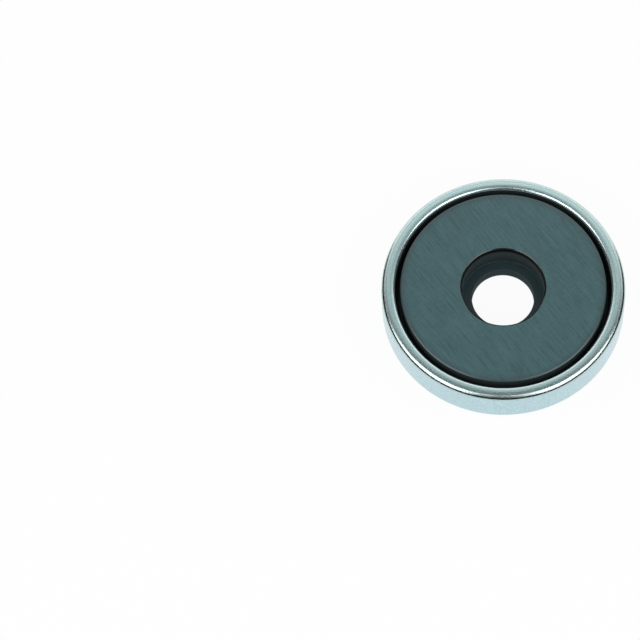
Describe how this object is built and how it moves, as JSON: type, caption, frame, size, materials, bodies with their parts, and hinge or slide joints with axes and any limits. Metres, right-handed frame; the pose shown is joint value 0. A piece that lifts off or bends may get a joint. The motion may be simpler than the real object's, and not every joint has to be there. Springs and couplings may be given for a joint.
{
  "type": "pot magnet",
  "caption": "Shallow round pot magnet: a plated steel cup with a central fixing hole holds a bonded ferrite ring magnet, with an open gap between ring and rim.",
  "frame": {"origin": "centre of the pot's flat back, where it rests", "axes": "+Z along the magnet's axis, from the steel back towards the magnet face; the part is round about Z"},
  "size_m": [0.05, 0.05, 0.0086],
  "materials": {
    "plated_steel": "bright zinc plate with a pale blue passivation on pressed steel, satin on the flats and bright on the rounds",
    "ferrite": "dark grey hard ferrite, ground flat with fine straight grinding lines",
    "epoxy": "set black epoxy"
  },
  "bodies": {
    "root": {"steel_pot": "plated_steel", "ring_magnet": "ferrite", "adhesive_bond": "epoxy"}
  },
  "joints": []
}
